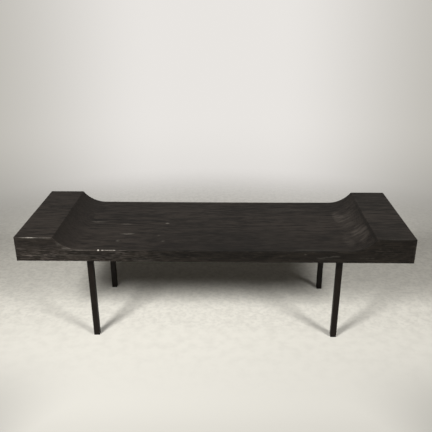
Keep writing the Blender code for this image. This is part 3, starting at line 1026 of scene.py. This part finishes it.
def build_weld(corner):
    """A fillet weld round the head of a leg, rippled along its run."""
    low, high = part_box(f"weld_bead_{corner}")
    leg_low, leg_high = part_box(f"leg_{corner}")
    middle = (low + high) / 2
    leg_half = (leg_high.x - leg_low.x) / 2
    inner = leg_half + SEATING_GAP
    reach = (high.x - low.x) / 2 - inner
    turn = np.linspace(0.0, math.pi / 2, WELD_FACE_POINTS)
    share = turn / (math.pi / 2)
    path, normals = walk(*rounded_square(inner, LEG_CORNER_RADIUS + SEATING_GAP))
    steps = np.cumsum(np.linalg.norm(np.diff(path, axis=0, append=path[:1]), axis=-1))
    ripple = 0.5 + 0.5 * np.cos(2 * math.pi * steps / WELD_RIPPLE_PITCH)
    points = []
    for place, normal, swell in zip(path, normals, ripple):
        bulge = (WELD_BULGE - WELD_RIPPLE_DEPTH * swell) * np.sin(2 * turn) * WELD_BULGE_LEAN
        out = np.append(np.clip(reach * (1 - share) + bulge, 0.0, reach), 0.0)
        drop = np.append(np.clip(reach * share + bulge, 0.0, reach), 0.0)
        for outwards, below in zip(out, drop):
            x = middle.x + place[0] + outwards * normal[0]
            y = middle.y + place[1] + outwards * normal[1]
            points.append((x, y, high.z - below))
    table = closed_table(len(path), WELD_FACE_POINTS + 1)
    return mesh_piece(f"fillet_weld_{corner}", points, quads(table))


# Studio

def build_camera():
    """The photograph's camera."""
    forward = Vector((
        math.sin(CAMERA_YAW) * math.cos(CAMERA_PITCH_DOWN),
        math.cos(CAMERA_YAW) * math.cos(CAMERA_PITCH_DOWN),
        -math.sin(CAMERA_PITCH_DOWN),
    ))
    level = Vector((math.cos(CAMERA_YAW), -math.sin(CAMERA_YAW), 0.0))
    upright = level.cross(forward)
    right = math.cos(CAMERA_ROLL) * level + math.sin(CAMERA_ROLL) * upright
    up = math.cos(CAMERA_ROLL) * upright - math.sin(CAMERA_ROLL) * level
    data = bpy.data.cameras.new("camera")
    data.sensor_fit = "HORIZONTAL"
    data.sensor_width = SENSOR_MM
    data.lens = FOCAL_PIXELS / IMAGE_PIXELS * SENSOR_MM
    camera = link(bpy.data.objects.new("camera", data))
    turn = Matrix((right, up, -forward)).transposed().to_4x4()
    camera.matrix_world = Matrix.Translation(CAMERA_PLACE) @ turn
    bpy.context.scene.camera = camera


def build_light(name, place, size, watts):
    """A soft box of the given width and height, aimed at the bench."""
    data = bpy.data.lights.new(name, "AREA")
    data.shape = "RECTANGLE"
    data.size, data.size_y = size
    data.spread = LIGHT_SPREAD
    data.energy = watts
    data.color = LIGHT_COLOUR
    lamp = link(bpy.data.objects.new(name, data))
    lamp.location = place
    aim = Vector(LIGHT_TARGET) - Vector(place)
    lamp.rotation_euler = aim.to_track_quat("-Z", "Y").to_euler()
    lamp.visible_camera = False


def build_world():
    """A pale backdrop for what the camera and reflections see, with painted fall-off of the light, and
    a weak even light for the rest.
    """
    world = bpy.data.worlds.new("studio")
    world.use_nodes = True
    bpy.context.scene.world = world
    g = Graph(world.node_tree)
    ray = g.node("ShaderNodeLightPath", {})
    seen = g.math("MAXIMUM", ray.outputs["Is Camera Ray"], ray.outputs["Is Glossy Ray"])
    seen = g.math("MAXIMUM", seen, ray.outputs["Is Transmission Ray"])
    direction = g.node("ShaderNodeTexCoord", {}).outputs["Generated"]
    parts = g.node("ShaderNodeSeparateXYZ", {0: direction})
    aside = g.math("ABSOLUTE", g.math("SUBTRACT", parts.outputs["X"], BACKDROP_MIDDLE))
    down = g.math("MULTIPLY", parts.outputs["Z"], -1.0)
    # Painted fall-off: the backdrop darkens towards the sides and low down
    outer = g.rise(aside, *BACKDROP_FADE)
    pale = g.mix(outer, BACKDROP_CENTRE_COLOUR, BACKDROP_EDGE_COLOUR)
    strength = g.lean(1.0, g.span(outer, *BACKDROP_LOW_STRENGTH), g.rise(down, *BACKDROP_LOW_FADE))
    backdrop = g.node("ShaderNodeBackground", {"Color": pale, "Strength": strength})
    weak = {"Color": colour(AMBIENT_COLOUR), "Strength": AMBIENT_STRENGTH}
    ambient = g.node("ShaderNodeBackground", weak)
    mixed = g.node("ShaderNodeMixShader", {0: seen, 1: ambient.outputs[0], 2: backdrop.outputs[0]})
    g.node("ShaderNodeOutputWorld", {"Surface": mixed.outputs[0]})


def build_floor():
    """A pale floor with painted shade towards the front and its corners, that fades out into the
    backdrop and is clear from below to show the underside.
    """
    turns = np.arange(FLOOR_SIDES) * 2 * math.pi / FLOOR_SIDES
    ring = [(FLOOR_RADIUS * math.cos(t), FLOOR_RADIUS * math.sin(t), 0.0) for t in turns]
    floor = mesh_piece("floor", ring, [range(FLOOR_SIDES)])
    made, g = new_material("pale_floor")
    place = g.place()
    spots = g.rise(g.noise(place, *FLOOR_SPOT_NOISE), *FLOOR_SPOT_RISE)
    shade = g.mix(spots, FLOOR_COLOUR, FLOOR_SPOT_COLOUR)
    parts = g.node("ShaderNodeSeparateXYZ", {0: place})
    aside = g.math("ABSOLUTE", parts.outputs["X"])
    forward = g.math("MULTIPLY", parts.outputs["Y"], -1.0)
    pits = g.rise(g.noise(place, *FLOOR_PIT_NOISE), *FLOOR_PIT_RISE)
    pits = g.math("MULTIPLY", pits, g.math("SUBTRACT", 1.0, g.rise(forward, *FLOOR_SMOOTH_FROM)))
    shade = g.mix(g.math("MULTIPLY", pits, FLOOR_PIT_SHARE), shade, FLOOR_PIT_COLOUR)
    # Painted shade: darker towards the front, in the front corners and nearest the camera
    shade = g.mix(g.rise(forward, *FLOOR_FRONT_FADE), shade, FLOOR_FRONT_PAINTED_SHADE)
    corner_shade = g.rise(forward, *FLOOR_CORNER_FADE_FORWARD)
    corner_shade = g.math("MULTIPLY", corner_shade, g.rise(aside, *FLOOR_CORNER_FADE_ASIDE))
    near = g.math("MULTIPLY", g.rise(forward, *FLOOR_NEAR_FADE), FLOOR_NEAR_PAINTED_SHADE_SHARE)
    shade = g.mix(g.math("MAXIMUM", corner_shade, near), shade, FLOOR_CORNER_PAINTED_SHADE)
    away = g.length(g.vector("SUBTRACT", place, FLOOR_FADE_CENTRE))
    solid = g.math("SUBTRACT", 1.0, g.rise(away, *FLOOR_FADE))
    from_below = g.node("ShaderNodeNewGeometry", {}).outputs["Backfacing"]
    solid = g.math("MULTIPLY", solid, g.math("SUBTRACT", 1.0, from_below))
    finish_material(
        g, Base_Color=shade, Roughness=FLOOR_ROUGHNESS, Specular_IOR_Level=FLOOR_SPECULAR, Alpha=solid,
    )
    floor.data.materials.append(made)


# Bench

def dress(piece, node, material):
    """Puts a new piece in place of a CAD node, on the bench's one body."""
    piece.data.materials.clear()
    piece.data.materials.append(material)
    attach(piece, "root")
    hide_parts(node)


def coat(node, material):
    """Gives a CAD node that stays its material."""
    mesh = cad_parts[node].data
    mesh.materials.clear()
    mesh.materials.append(material)


bpy.context.scene.view_settings.view_transform = "Standard"
build_camera()
build_world()
build_light("left_soft_box", LEFT_LIGHT_PLACE, LEFT_LIGHT_SIZE, LEFT_LIGHT_WATTS)
build_light("right_soft_box", RIGHT_LIGHT_PLACE, RIGHT_LIGHT_SIZE, RIGHT_LIGHT_WATTS)
build_floor()

leg_finish = satin_material("leg_finish", *LEG_COLOURS)
plate_finish = satin_material("plate_finish", *PLATE_COLOURS)
weld_finish = satin_material("weld_finish", *WELD_COLOURS)
screw_finish = satin_material("screw_finish", *SCREW_COLOURS)
glide_finish = satin_material("glide_finish", *GLIDE_COLOURS)

dress(build_slab(), "seat_slab", wood_material())
for corner in CORNERS:
    dress(build_leg(corner), f"leg_{corner}", leg_finish)
    dress(build_weld(corner), f"weld_bead_{corner}", weld_finish)
    coat(f"mounting_plate_{corner}", plate_finish)
    coat(f"foot_glide_{corner}", glide_finish)
    for number in range(1, SCREWS_PER_PLATE + 1):
        coat(f"plate_screw_{corner}_{number}", screw_finish)
